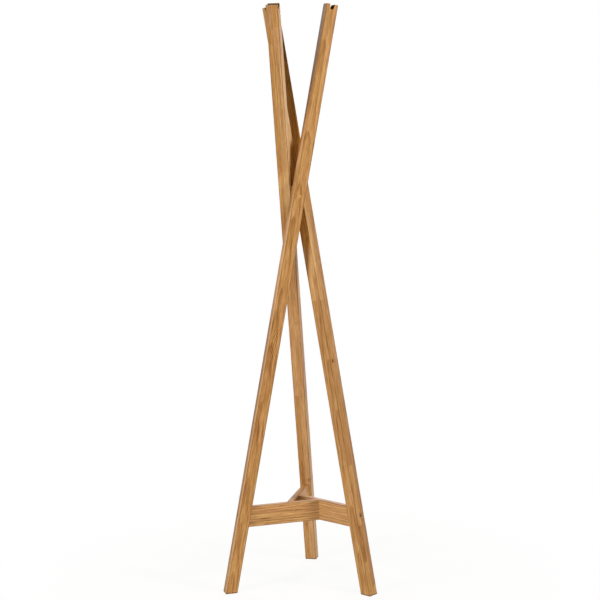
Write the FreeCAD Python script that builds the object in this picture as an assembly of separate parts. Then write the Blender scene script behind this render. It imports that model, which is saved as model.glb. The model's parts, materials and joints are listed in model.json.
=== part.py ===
# Coat stand: three square oak legs lean past each other at a waist and stand on a pinwheel of rails.
# Millimetres, +Z up. The origin is on the floor, on the stand's upright axis.
# One leg and one rail are worked out on the -Y side of the axis, with the leg leaning along +X.
# The other two of each are the same piece turned about the axis.
import FreeCAD
import Part
import math
import os

# Overall form
OVERALL_HEIGHT = 1750.0
WAIST_HEIGHT = 1188.0
LEG_LEAN_DEG = 11.45
SIDES = ("left", "right", "back")

# Legs
LEG_SIDE = 35.0
LEG_EDGE_RADIUS = 1.5
WAIST_GAP = 0.4

# Notch for a coat loop in each leg's top end
NOTCH_MOUTH = 15.0
NOTCH_DEPTH = 16.0
NOTCH_ROOT_RADIUS = 5.0

# Core block that the legs are fastened to at the waist
CORE_HEIGHT = 60.0
CORE_CORNER_CUT = 3.0

# Rails near the floor
RAIL_THICKNESS = 18.0
RAIL_HEIGHT = 62.0
RAIL_BOTTOM = 198.0
RAIL_EDGE_RADIUS = 1.0

# Countersunk cross-head screws, one through each leg into the core and one through each rail
WAIST_SCREW_DIAMETER = 5.0
WAIST_SCREW_HEAD = 10.0
WAIST_SCREW_TIP_TO_AXIS = 3.0
RAIL_SCREW_DIAMETER = 4.0
RAIL_SCREW_HEAD = 8.0
RAIL_SCREW_BITE = 20.0
RAIL_SCREW_UP = 37.0
SCREW_HEAD_RIM = 0.5
SCREW_HEAD_SINK = 0.3
SCREW_POINT = 3.0
CROSS_WIDTH = 1.2
CROSS_DEPTH = 1.8
CROSS_SHARE = 0.6

# Hexagon-socket bolt from each leg into a threaded insert in its rail, square to the leg
BOLT_UP = 33.0
BOLT_DIAMETER = 6.0
BOLT_HEAD_DIAMETER = 10.0
BOLT_HEAD_HEIGHT = 5.0
BOLT_RUN_OUT = 3.0
BOLT_SOCKET = 4.0
BOLT_SOCKET_DEPTH = 3.0
COUNTERBORE_DIAMETER = 12.0
COUNTERBORE_DEPTH = 9.0
INSERT_DIAMETER = 10.0
INSERT_LENGTH = 15.0
INSERT_SINK = 1.5

# Dowels: a pair at every joint
DOWEL_DIAMETER = 6.0
DOWEL_CHAMFER = 0.7
DOWEL_END_ROOM = 1.0
DOWEL_INSET = 11.0
LEG_DOWEL_IN_LEG = 15.0
LEG_DOWEL_IN_RAIL = 20.0
RAIL_DOWEL_IN_FACE = 10.0
RAIL_DOWEL_IN_END = 14.0
WAIST_DOWEL_IN_LEG = 16.0
WAIST_DOWEL_IN_CORE = 7.0
WAIST_DOWEL_SPREAD = 18.0

# Room between a pin, screw, bolt or insert and its hole: all round, and past a thread's end
HOLE_CLEARANCE = 0.1
THREAD_END_ROOM = 0.5

# Worked out from the sizes above
LEAN = math.radians(LEG_LEAN_DEG)
TURN_DEG = 360.0 / len(SIDES)
TURN = math.radians(TURN_DEG)
HALF_LEVEL_WIDTH = LEG_SIDE / (2 * math.cos(LEAN))
CORE_FLAT = (HALF_LEVEL_WIDTH + WAIST_GAP) / math.tan(TURN / 2)
LEG_OFFSET = CORE_FLAT + LEG_SIDE / 2
LEG_OUTER_Y = -(LEG_OFFSET + LEG_SIDE / 2)
RAIL_OUTER_Y = -(LEG_OFFSET + RAIL_THICKNESS / 2)
RAIL_INNER_Y = -(LEG_OFFSET - RAIL_THICKNESS / 2)
BOLT_LEVEL = RAIL_BOTTOM + BOLT_UP
DOWEL_LEVELS = (RAIL_BOTTOM + DOWEL_INSET, RAIL_BOTTOM + RAIL_HEIGHT - DOWEL_INSET)
WAIST_DOWEL_LENGTH = WAIST_DOWEL_IN_LEG + WAIST_DOWEL_IN_CORE
LEG_DOWEL_LENGTH = LEG_DOWEL_IN_LEG + LEG_DOWEL_IN_RAIL
RAIL_DOWEL_LENGTH = RAIL_DOWEL_IN_FACE + RAIL_DOWEL_IN_END

ORIGIN = FreeCAD.Vector(0, 0, 0)
SQUARE_TO_LEG = FreeCAD.Vector(math.cos(LEAN), 0, -math.sin(LEAN))
INWARD = FreeCAD.Vector(0, 1, 0)
UP = FreeCAD.Vector(0, 0, 1)


def turned(shape, steps):
    """Gives a copy of a shape turned about the stand's axis by a number of legs."""
    copy = shape.copy()
    copy.rotate(ORIGIN, UP, steps * TURN_DEG)
    return copy


def placed(shape, start, direction):
    """Moves a shape made on the Z axis so that it starts at a point and runs along a direction."""
    shape.Placement = FreeCAD.Placement(start, FreeCAD.Rotation(UP, direction))
    return shape


def round_solid(profile):
    """Revolves a closed outline of (radius, height) points about the Z axis."""
    points = [FreeCAD.Vector(radius, 0, height) for radius, height in profile]
    face = Part.Face(Part.makePolygon(points + points[:1]))
    return face.revolve(ORIGIN, UP, 360)


def hole(diameter, start, direction, length):
    """Makes the cutter for a round hole that clears a pin of the given diameter."""
    return Part.makeCylinder(diameter / 2 + HOLE_CLEARANCE, length, start, direction)


def on_leg(across, outward, along):
    """Gives the point at a place on the leg: across its lean, outwards, and along it from the waist."""
    x = across * math.cos(LEAN) + along * math.sin(LEAN)
    z = WAIST_HEIGHT - across * math.sin(LEAN) + along * math.cos(LEAN)
    return FreeCAD.Vector(x, -(LEG_OFFSET + outward), z)


def leg_joint_point(level, depth):
    """Gives the point at a depth past the leg's joint with its rail, square to the leg from a level on it."""
    along = (level - WAIST_HEIGHT + LEG_SIDE / 2 * math.sin(LEAN)) / math.cos(LEAN)
    return on_leg(LEG_SIDE / 2 + depth, 0, along)


def to_leg(shape):
    """Moves a shape from the leg's own upright frame, centred at the waist, to the leaning leg."""
    shape.rotate(ORIGIN, FreeCAD.Vector(0, 1, 0), LEG_LEAN_DEG)
    shape.translate(on_leg(0, 0, 0))
    return shape


def notch_cutter(top):
    """Makes the tapered notch with a round root, in the leg's upright frame."""
    centre = FreeCAD.Vector(0, -LEG_SIDE, top - NOTCH_DEPTH + NOTCH_ROOT_RADIUS)
    mouth = FreeCAD.Vector(NOTCH_MOUTH / 2, 0, NOTCH_DEPTH - NOTCH_ROOT_RADIUS)
    angle = math.atan2(mouth.z, mouth.x) - math.acos(NOTCH_ROOT_RADIUS / mouth.Length)
    tangent = FreeCAD.Vector(math.cos(angle), 0, math.sin(angle)) * NOTCH_ROOT_RADIUS
    beyond = mouth + (mouth - tangent)

    def mirrored(point):
        return FreeCAD.Vector(-point.x, point.y, point.z)

    root = Part.Arc(centre + tangent, centre - UP * NOTCH_ROOT_RADIUS, centre + mirrored(tangent)).toShape()
    rise = Part.makePolygon([
        centre + mirrored(tangent),
        centre + mirrored(beyond),
        centre + beyond,
        centre + tangent,
    ])
    outline = Part.Wire([root] + rise.Edges)
    return Part.Face(outline).extrude(INWARD * (2 * LEG_SIDE))


def leg_bar():
    """Makes the bare leg: eased edges, a notched square-cut top and a foot cut level with the floor."""
    top = (OVERALL_HEIGHT - WAIST_HEIGHT - LEG_SIDE / 2 * math.sin(LEAN)) / math.cos(LEAN)
    bottom = -(WAIST_HEIGHT / math.cos(LEAN) + LEG_SIDE)
    corner = FreeCAD.Vector(-LEG_SIDE / 2, -LEG_SIDE / 2, bottom)
    bar = Part.makeBox(LEG_SIDE, LEG_SIDE, top - bottom, corner)
    long_edges = [edge for edge in bar.Edges if edge.Length > 2 * LEG_SIDE]
    bar = bar.makeFillet(LEG_EDGE_RADIUS, long_edges)
    bar = to_leg(bar.cut(notch_cutter(top)))
    below = Part.makeBox(OVERALL_HEIGHT, OVERALL_HEIGHT, OVERALL_HEIGHT)
    below.translate(FreeCAD.Vector(-OVERALL_HEIGHT / 2, -OVERALL_HEIGHT / 2, -OVERALL_HEIGHT))
    return bar.cut(below)


def rail_board():
    """Makes the bare rail: it starts on its leg's face and ends on the next rail's inner face."""
    reach = OVERALL_HEIGHT
    corner = FreeCAD.Vector(-reach, RAIL_OUTER_Y, RAIL_BOTTOM)
    board = Part.makeBox(2 * reach, RAIL_THICKNESS, RAIL_HEIGHT, corner)
    long_edges = [edge for edge in board.Edges if edge.Length > reach]
    board = board.makeFillet(RAIL_EDGE_RADIUS, long_edges)
    behind_leg = Part.makeBox(2 * reach, 2 * reach, 4 * reach)
    behind_leg.translate(FreeCAD.Vector(LEG_SIDE / 2 - 2 * reach, -reach, -2 * reach))
    past_next = Part.makeBox(4 * reach, 2 * reach, 2 * reach)
    past_next.translate(FreeCAD.Vector(-2 * reach, RAIL_INNER_Y - 2 * reach, -reach / 2))
    return board.cut([to_leg(behind_leg), turned(past_next, 1)])


def screw(diameter, head, length):
    """Makes a countersunk cross-head screw that points along +Z from its head."""
    taper = (head - diameter) / 2
    body = round_solid([
        (0, 0),
        (head / 2, 0),
        (head / 2, SCREW_HEAD_RIM),
        (diameter / 2, SCREW_HEAD_RIM + taper),
        (diameter / 2, length - SCREW_POINT),
        (0, length),
    ])
    arm = head * CROSS_SHARE
    first = Part.makeBox(arm, CROSS_WIDTH, CROSS_DEPTH, FreeCAD.Vector(-arm / 2, -CROSS_WIDTH / 2, 0))
    second = Part.makeBox(CROSS_WIDTH, arm, CROSS_DEPTH, FreeCAD.Vector(-CROSS_WIDTH / 2, -arm / 2, 0))
    return body.cut(first.fuse(second))


def screw_seat(diameter, head):
    """Makes the countersink that takes a screw's head, from the face of the wood along +Z."""
    rim = SCREW_HEAD_SINK + SCREW_HEAD_RIM
    outer = head / 2 + HOLE_CLEARANCE
    inner = diameter / 2 + HOLE_CLEARANCE
    return round_solid([(0, 0), (outer, 0), (outer, rim), (inner, rim + outer - inner), (0, rim + outer - inner)])


def dowel(start, direction, length):
    """Makes a chamfered dowel with room left at both ends of its two holes."""
    radius = DOWEL_DIAMETER / 2
    body = length - 2 * DOWEL_END_ROOM
    pin = round_solid([
        (0, 0),
        (radius - DOWEL_CHAMFER, 0),
        (radius, DOWEL_CHAMFER),
        (radius, body - DOWEL_CHAMFER),
        (radius - DOWEL_CHAMFER, body),
        (0, body),
    ])
    return placed(pin, start + direction * DOWEL_END_ROOM, direction)


def waist_screw_start():
    """Gives the middle of the leg's outer face at the waist, where its screw goes in."""
    return FreeCAD.Vector(0, LEG_OUTER_Y, WAIST_HEIGHT)


def waist_screw():
    """Makes the screw that pulls a leg against the core."""
    length = -LEG_OUTER_Y - SCREW_HEAD_SINK - WAIST_SCREW_TIP_TO_AXIS
    body = screw(WAIST_SCREW_DIAMETER, WAIST_SCREW_HEAD, length)
    return placed(body, waist_screw_start() + INWARD * SCREW_HEAD_SINK, INWARD)


def waist_screw_holes():
    """Makes the cutters for the waist screw, through the leg and into the core."""
    length = -LEG_OUTER_Y - WAIST_SCREW_TIP_TO_AXIS + THREAD_END_ROOM
    seat = screw_seat(WAIST_SCREW_DIAMETER, WAIST_SCREW_HEAD)
    return [
        hole(WAIST_SCREW_DIAMETER, waist_screw_start(), INWARD, length),
        placed(seat, waist_screw_start(), INWARD),
    ]


def waist_dowel_starts():
    """Gives where the two waist dowels' holes end inside the leg."""
    depth = WAIST_DOWEL_IN_LEG - LEG_SIDE / 2
    return [on_leg(0, depth, along) for along in (-WAIST_DOWEL_SPREAD, WAIST_DOWEL_SPREAD)]


def leg_dowel_starts():
    """Gives where the two dowel holes between a leg and its rail end inside the leg."""
    return [leg_joint_point(level, -LEG_DOWEL_IN_LEG) for level in DOWEL_LEVELS]


def bolt_seat():
    """Gives the middle of the counterbore's floor, where the bolt's head bears on the leg."""
    return leg_joint_point(BOLT_LEVEL, COUNTERBORE_DEPTH - LEG_SIDE)


def insert_start():
    """Gives the near end of the threaded insert, just inside the rail's slanting end."""
    return leg_joint_point(BOLT_LEVEL, INSERT_SINK)


def bolt_length():
    """Gives the bolt's length under its head, to a little past the insert."""
    return LEG_SIDE - COUNTERBORE_DEPTH + INSERT_SINK + INSERT_LENGTH + BOLT_RUN_OUT


def leg_bolt():
    """Makes the bolt with its hexagon socket."""
    corners = [
        FreeCAD.Vector(math.cos(step * math.pi / 3), math.sin(step * math.pi / 3), 0)
        * (BOLT_SOCKET / math.sqrt(3))
        for step in range(6)
    ]
    socket = Part.Face(Part.makePolygon(corners + corners[:1])).extrude(UP * BOLT_SOCKET_DEPTH)
    length = BOLT_HEAD_HEIGHT + bolt_length()
    body = round_solid([
        (0, 0),
        (BOLT_HEAD_DIAMETER / 2, 0),
        (BOLT_HEAD_DIAMETER / 2, BOLT_HEAD_HEIGHT),
        (BOLT_DIAMETER / 2, BOLT_HEAD_HEIGHT),
        (BOLT_DIAMETER / 2, length),
        (0, length),
    ])
    return placed(body.cut(socket), bolt_seat() - SQUARE_TO_LEG * BOLT_HEAD_HEIGHT, SQUARE_TO_LEG)


def bolt_holes():
    """Makes the cutters for the bolt: its hole, and the counterbore open to the leg's leaning face."""
    open_end = 2 * COUNTERBORE_DEPTH
    return [
        hole(BOLT_DIAMETER, bolt_seat(), SQUARE_TO_LEG, bolt_length() + THREAD_END_ROOM),
        Part.makeCylinder(COUNTERBORE_DIAMETER / 2, open_end, bolt_seat(), SQUARE_TO_LEG * -1),
    ]


def threaded_insert():
    """Makes the sleeve in the rail's end that the bolt screws into."""
    inner = BOLT_DIAMETER / 2 + HOLE_CLEARANCE
    sleeve = round_solid([
        (inner, 0),
        (INSERT_DIAMETER / 2, 0),
        (INSERT_DIAMETER / 2, INSERT_LENGTH),
        (inner, INSERT_LENGTH),
    ])
    return placed(sleeve, insert_start(), SQUARE_TO_LEG)


def insert_hole():
    """Makes the cutter for the insert, open to the rail's end."""
    lead = 2 * INSERT_SINK
    return hole(INSERT_DIAMETER, insert_start() - SQUARE_TO_LEG * lead, SQUARE_TO_LEG, lead + INSERT_LENGTH)


def rail_joint_point(y, bite, level):
    """Gives a point on a rail where the rail before it butts, shifted so that a pin stays in that rail."""
    butt_x = -(LEG_OFFSET + RAIL_INNER_Y * math.cos(TURN)) / math.sin(TURN)
    shift = bite / 2 * math.tan(TURN - math.pi / 2)
    return FreeCAD.Vector(butt_x + shift, y, level)


def rail_screw_start():
    """Gives where the screw goes into the rail's outer face."""
    return rail_joint_point(RAIL_OUTER_Y, RAIL_SCREW_BITE, RAIL_BOTTOM + RAIL_SCREW_UP)


def rail_screw():
    """Makes the screw through a rail into the end of the rail before it."""
    length = RAIL_THICKNESS + RAIL_SCREW_BITE - SCREW_HEAD_SINK
    body = screw(RAIL_SCREW_DIAMETER, RAIL_SCREW_HEAD, length)
    return placed(body, rail_screw_start() + INWARD * SCREW_HEAD_SINK, INWARD)


def rail_screw_holes():
    """Makes the cutters for the rail screw, through one rail and into the other's end."""
    length = RAIL_THICKNESS + RAIL_SCREW_BITE + THREAD_END_ROOM
    seat = screw_seat(RAIL_SCREW_DIAMETER, RAIL_SCREW_HEAD)
    return [
        hole(RAIL_SCREW_DIAMETER, rail_screw_start(), INWARD, length),
        placed(seat, rail_screw_start(), INWARD),
    ]


def rail_dowel_starts():
    """Gives where the two dowel holes between rails end inside the rail that is butted."""
    depth_y = RAIL_INNER_Y - RAIL_DOWEL_IN_FACE
    return [rail_joint_point(depth_y, RAIL_DOWEL_IN_END, level) for level in DOWEL_LEVELS]


def dowel_holes(starts, direction, length):
    """Makes the cutters for a pair of dowels."""
    return [hole(DOWEL_DIAMETER, start, direction, length) for start in starts]


def dowel_pair(starts, direction, length):
    """Makes a pair of dowels as one group of two solids."""
    return Part.makeCompound([dowel(start, direction, length) for start in starts])


def waist_holes():
    """Makes all cutters for one leg's joint with the core."""
    return waist_screw_holes() + dowel_holes(waist_dowel_starts(), INWARD, WAIST_DOWEL_LENGTH)


def leg_rail_holes():
    """Makes the cutters that a leg and its rail share."""
    return bolt_holes() + dowel_holes(leg_dowel_starts(), SQUARE_TO_LEG, LEG_DOWEL_LENGTH)


def rail_rail_holes():
    """Makes the cutters that a rail shares with the rail that butts on it."""
    return rail_screw_holes() + dowel_holes(rail_dowel_starts(), INWARD, RAIL_DOWEL_LENGTH)


def leg():
    """Makes a finished leg."""
    return leg_bar().cut(waist_holes() + leg_rail_holes())


def rail():
    """Makes a finished rail, drilled for its leg, for the rail that butts on it and for the next rail."""
    next_joint = [turned(cutter, 1) for cutter in rail_rail_holes()]
    return rail_board().cut(leg_rail_holes() + [insert_hole()] + rail_rail_holes() + next_joint)


def core_block():
    """Makes the three-sided block at the waist, drilled on each flat for its leg."""
    tip = CORE_FLAT / math.cos(TURN / 2)
    bottom = WAIST_HEIGHT - CORE_HEIGHT / 2
    spokes = [TURN * step - math.pi / 2 + TURN / 2 for step in range(len(SIDES))]
    corners = [FreeCAD.Vector(tip * math.cos(a), tip * math.sin(a), bottom) for a in spokes]
    block = Part.Face(Part.makePolygon(corners + corners[:1])).extrude(UP * CORE_HEIGHT)
    blunt = Part.makeCylinder(tip - CORE_CORNER_CUT, CORE_HEIGHT, UP * bottom)
    drills = [turned(cutter, step) for step in range(len(SIDES)) for cutter in waist_holes()]
    return block.common(blunt).cut(drills)


def repeated_pieces():
    """Makes one of each piece that the stand has three of, by name."""
    return {
        "leg": leg(),
        "rail": rail(),
        "waist_screw": waist_screw(),
        "waist_dowels": dowel_pair(waist_dowel_starts(), INWARD, WAIST_DOWEL_LENGTH),
        "leg_bolt": leg_bolt(),
        "threaded_insert": threaded_insert(),
        "leg_dowels": dowel_pair(leg_dowel_starts(), SQUARE_TO_LEG, LEG_DOWEL_LENGTH),
        "rail_screw": rail_screw(),
        "rail_dowels": dowel_pair(rail_dowel_starts(), INWARD, RAIL_DOWEL_LENGTH),
    }


def main():
    """Writes every piece of the stand to its own file."""
    os.makedirs("parts", exist_ok=True)
    for name, shape in repeated_pieces().items():
        for step, side in enumerate(SIDES):
            turned(shape, step).exportStep(f"parts/{name}_{side}.step")
    core_block().exportStep("parts/core_block.step")


main()
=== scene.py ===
"""Oak coat stand: models the pieces that show, dresses every piece and sets up the studio.

Metres, +Z up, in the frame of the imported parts: the origin is on the floor, on the stand's upright axis.
Each leg, rail, screw and bolt is modelled once, on the left leg's side, and its copies are turned about
that axis.
"""

import json
import logging
import math
from collections.abc import Callable, Iterator, Sequence
from contextlib import contextmanager
from dataclasses import dataclass, field, replace
from enum import Enum

import bmesh
import bpy
from mathutils import Matrix, Vector


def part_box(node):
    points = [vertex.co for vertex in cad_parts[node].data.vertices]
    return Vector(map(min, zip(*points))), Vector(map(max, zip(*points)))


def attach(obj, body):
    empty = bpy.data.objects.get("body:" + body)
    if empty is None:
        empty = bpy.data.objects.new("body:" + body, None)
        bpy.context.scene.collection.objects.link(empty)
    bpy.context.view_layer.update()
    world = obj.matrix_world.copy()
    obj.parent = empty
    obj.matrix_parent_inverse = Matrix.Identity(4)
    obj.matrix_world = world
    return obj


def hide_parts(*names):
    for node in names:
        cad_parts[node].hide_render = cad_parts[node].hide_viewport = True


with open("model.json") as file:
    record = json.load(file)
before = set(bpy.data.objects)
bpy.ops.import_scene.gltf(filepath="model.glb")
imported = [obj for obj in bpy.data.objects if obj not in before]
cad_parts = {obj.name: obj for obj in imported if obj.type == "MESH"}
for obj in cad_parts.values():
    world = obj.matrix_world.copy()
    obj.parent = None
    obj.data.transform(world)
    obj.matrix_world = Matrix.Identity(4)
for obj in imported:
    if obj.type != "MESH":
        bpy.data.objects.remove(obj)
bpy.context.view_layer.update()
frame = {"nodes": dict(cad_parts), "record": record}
LOG = logging.getLogger("coat_stand")
BODY = "root"
MM = 0.001
UP = Vector((0, 0, 1))
INWARD = Vector((0, 1, 0))
ALONG = Vector((1, 0, 0))
SHARP_CORNER = math.radians(32)
Span = tuple[float, float]
Triple = tuple[float, float, float]
Piece = bpy.types.Object
Material = bpy.types.Material
Socket = bpy.types.NodeSocket
Number = Socket | float
Point = Socket | Sequence[float]
Inputs = dict[str | int, Number | Sequence[float]]


class Side(Enum):
    """The side that a leg stands on, as thirds of a turn from the left leg."""

    LEFT = 0
    RIGHT = 1
    BACK = 2

    @property
    def label(self) -> str:
        """The side's word in the names of pieces."""
        return self.name.lower()

    @property
    def turn(self) -> Matrix:
        """The turn about the upright axis from the left leg to this side."""
        return Matrix.Rotation(math.tau / len(Side) * self.value, 4, "Z")


def select_only(piece: Piece) -> None:
    """Selects one object and makes it active.

    Args:
        piece: The object that the next operators act on.
    """
    bpy.ops.object.select_all(action="DESELECT")
    piece.select_set(True)
    bpy.context.view_layer.objects.active = piece


@contextmanager
def editing(piece: Piece) -> Iterator[None]:
    """Opens a piece in edit mode, for faces and with none selected, and leaves edit mode at the end.

    Args:
        piece: The mesh object to edit.
    """
    select_only(piece)
    bpy.ops.object.mode_set(mode="EDIT")
    bpy.ops.mesh.select_mode(type="FACE")
    bpy.ops.mesh.select_all(action="DESELECT")
    yield
    bpy.ops.object.mode_set(mode="OBJECT")


def add_primitive(name: str, add: Callable[..., set[str]], **settings: object) -> Piece:
    """Adds a primitive with nothing else selected, and puts its size and place into its mesh.

    Args:
        name: The piece's name.
        add: The operator that adds it.
        settings: What the operator is given.

    Returns:
        The new object, at the origin.
    """
    bpy.ops.object.select_all(action="DESELECT")
    add(**settings)
    piece = bpy.context.object
    piece.name = name
    piece.data.name = name
    bpy.ops.object.transform_apply()
    return piece


def add_block(name: str, low: Vector, high: Vector) -> Piece:
    """Adds a block between its lowest and its highest corner."""
    add = bpy.ops.mesh.primitive_cube_add
    return add_primitive(name, add, size=1, location=(low + high) / 2, scale=high - low)


def add_turned(name: str, profile: Sequence[Span], segments: int = 48) -> Piece:
    """Turns a closed solid about the Z axis, as on a lathe: a disc is extruded and resized ring by ring.

    Args:
        name: The piece's name.
        profile: The radius and height of each ring, from the bottom; a last radius of 0 is a point.
        segments: How many sides the rings have.

    Returns:
        The turned solid.
    """
    radius, height = profile[0]
    disc = {"vertices": segments, "radius": radius, "fill_type": "NGON", "location": (0, 0, height)}
    piece = add_primitive(name, bpy.ops.mesh.primitive_circle_add, **disc)
    with editing(piece):
        bpy.ops.mesh.select_all(action="SELECT")
        for next_radius, next_height in profile[1:]:
            bpy.ops.mesh.extrude_region_move(TRANSFORM_OT_translate={"value": (0, 0, next_height - height)})
            if next_radius > 0:
                share = next_radius / radius
                bpy.ops.transform.resize(value=(share, share, 1), center_override=(0, 0, next_height))
            else:
                bpy.ops.mesh.merge(type="CENTER")
            radius, height = next_radius, next_height
        bpy.ops.mesh.select_all(action="SELECT")
        bpy.ops.mesh.normals_make_consistent(inside=False)
    return piece


def lay(piece: Piece, place: Matrix) -> Piece:
    """Moves a piece's mesh to its place and leaves its object at the origin.

    Args:
        piece: The object to move.
        place: Where it goes.

    Returns:
        The same object.
    """
    select_only(piece)
    piece.matrix_world = place
    bpy.ops.object.transform_apply()
    return piece


def pointing(start: Vector, direction: Vector) -> Matrix:
    """The place of a piece that was made along Z, by where it starts and which way it then points."""
    return Matrix.Translation(start) @ UP.rotation_difference(direction).to_matrix().to_4x4()


def slice_off(piece: Piece, point: Vector, outward: Vector) -> None:
    """Cuts a piece with a plane, closes the cut and drops what lies outside.

    Args:
        piece: The piece to cut.
        point: A point on the plane.
        outward: The plane's normal, towards what is dropped.
    """
    with editing(piece):
        bpy.ops.mesh.select_all(action="SELECT")
        bpy.ops.mesh.bisect(plane_co=point, plane_no=outward, use_fill=True, clear_outer=True)


def ease_edges(piece: Piece, wanted: Callable[[Vector, Vector], bool], radius: float, facets: int) -> None:
    """Rounds the edges that are wanted.

    Args:
        piece: The piece to round.
        wanted: Says whether an edge between two points is rounded.
        radius: The rounding's radius.
        facets: How many facets each rounding has.
    """
    with editing(piece):
        bpy.ops.mesh.select_mode(type="EDGE")
        mesh = bmesh.from_edit_mesh(piece.data)
        for edge in mesh.edges:
            edge.select_set(wanted(edge.verts[0].co, edge.verts[1].co))
        bmesh.update_edit_mesh(piece.data)
        bpy.ops.mesh.bevel(offset=radius, segments=facets, affect="EDGES", clamp_overlap=True)


def carve(piece: Piece, cutter: Piece) -> None:
    """Cuts one shape out of a piece and removes the cutter.

    Args:
        piece: The piece to cut.
        cutter: The closed shape that is taken away.
    """
    select_only(piece)
    cut = piece.modifiers.new("cut", "BOOLEAN")
    cut.operation = "DIFFERENCE"
    cut.solver = "EXACT"
    cut.object = cutter
    bpy.ops.object.modifier_apply(modifier=cut.name)
    bpy.data.objects.remove(cutter, do_unlink=True)


def bore(name: str, radius: float, depth: float, segments: int = 48) -> Piece:
    """Makes the cutter for a straight hole along Z, which goes as far out of its face as in."""
    return add_turned(name, [(radius, -depth), (radius, depth)], segments)


def countersink(radius: float, mouth: Vector, rim: float = 0.8 * MM) -> Piece:
    """Makes the cutter for a countersink that goes inwards.

    Args:
        radius: Its radius at the mouth.
        mouth: The middle of its mouth, on the face that it is cut into.
        rim: How deep it goes before it narrows.

    Returns:
        The cutter, which starts outside the face.
    """
    rings = [(radius, 0), (radius, 2 * rim), (radius / 2, 2 * rim + radius / 2)]
    return lay(add_turned("countersink", rings), pointing(mouth - INWARD * rim, INWARD))


def soften(piece: Piece) -> None:
    """Shades a piece smooth except at its corners."""
    select_only(piece)
    bpy.ops.object.shade_smooth_by_angle(angle=SHARP_CORNER)


def hand_over(piece: Piece, node: str, material: Material) -> None:
    """Gives a finished piece its material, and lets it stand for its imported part.

    Args:
        piece: The finished piece.
        node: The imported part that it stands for.
        material: The piece's finish.
    """
    piece.data.materials.clear()
    piece.data.materials.append(material)
    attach(piece, BODY)
    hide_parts(node)
    LOG.info("%s: %d faces", piece.name, len(piece.data.polygons))


def middle(node: str) -> Vector:
    """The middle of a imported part's box."""
    low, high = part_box(node)
    return (low + high) / 2


@dataclass(frozen=True)
class StandForm:
    """Sizes that the pieces share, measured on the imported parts."""

    height: float
    waist: float
    lean: float
    leg_side: float
    leg_offset: float
    bolt_seat: float = 9 * MM

    @classmethod
    def measured(cls) -> "StandForm":
        """Reads the shared sizes from the frame.

        Returns:
            The stand's form.
        """
        low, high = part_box("leg_left")
        foot = next(mount for mount in frame["record"]["mounts"] if mount["name"] == "foot_left")
        waist = middle("waist_screw_left").z
        return cls(
            height=high.z,
            waist=waist,
            lean=math.atan2(-foot["pos_m"][0], waist),
            leg_side=high.y - low.y,
            leg_offset=-(low.y + high.y) / 2,
        )

    @property
    def leg_place(self) -> Matrix:
        """The left leg's place: Z runs up the leg from the waist, X across its lean and Y inwards."""
        return Matrix.Translation((0, -self.leg_offset, self.waist)) @ Matrix.Rotation(self.lean, 4, "Y")

    @property
    def leg_top(self) -> float:
        """How far the leg's square-cut end is from the waist, along the leg."""
        corner_rise = self.leg_side / 2 * math.sin(self.lean)
        return (self.height - self.waist - corner_rise) / math.cos(self.lean)

    @property
    def leg_foot(self) -> float:
        """How far the middle of the foot is below the waist, along the leg."""
        return self.waist / math.cos(self.lean)

    @property
    def bolt_along(self) -> float:
        """How far the leg's bolt is from the waist, along the leg; its insert lies on the same line."""
        return (self.leg_place.inverted() @ middle("threaded_insert_left")).z


@dataclass(frozen=True)
class Patch:
    """A box of wood, in its piece's own frame, that differs from the rest.

    Attributes:
        low: Its lowest corner.
        high: Its highest corner.
        tone: How much paler it is, or how strong what marks it is: painted shade, the painted shade on a
            notch's walls, or feathered lines.
        soft: How far it fades inwards from its sides, along each axis.
    """

    low: Triple
    high: Triple
    tone: float
    soft: Triple = (0.2 * MM, 0.2 * MM, 0.2 * MM)


@dataclass(frozen=True)
class Noise:
    """A noise: how often it repeats in a metre along each axis, and its finer layers."""

    scale: Triple
    detail: float = 2.0
    rough: float = 0.5


@dataclass(frozen=True)
class Timber:
    """One piece's wood, in its own frame with Z along the grain.

    Attributes:
        seed: Where the chances of its grain start.
        place: The frame's place.
        half: Half the piece's width each way; far past its sides where no long edge is darkened.
        boards: The blocks that its outer and inner boards are glued up from: each one's start and paleness.
        patches: Darker and paler spots, some of them painted light and painted shade.
        stains: Painted shade on faces that stand in shade: a deeper, warm tint, and matt.
        figured: A stretch where the grain is feathered.
        notch: The sawn notch, whose walls are painted dark as the shade inside it.
    """

    seed: float
    place: Matrix = field(default_factory=Matrix)
    half: Span = (1.0, 1.0)
    boards: tuple[tuple[Span, ...], ...] = ()
    patches: tuple[Patch, ...] = ()
    stains: tuple[Patch, ...] = ()
    figured: Patch | None = None
    notch: Patch | None = None


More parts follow.
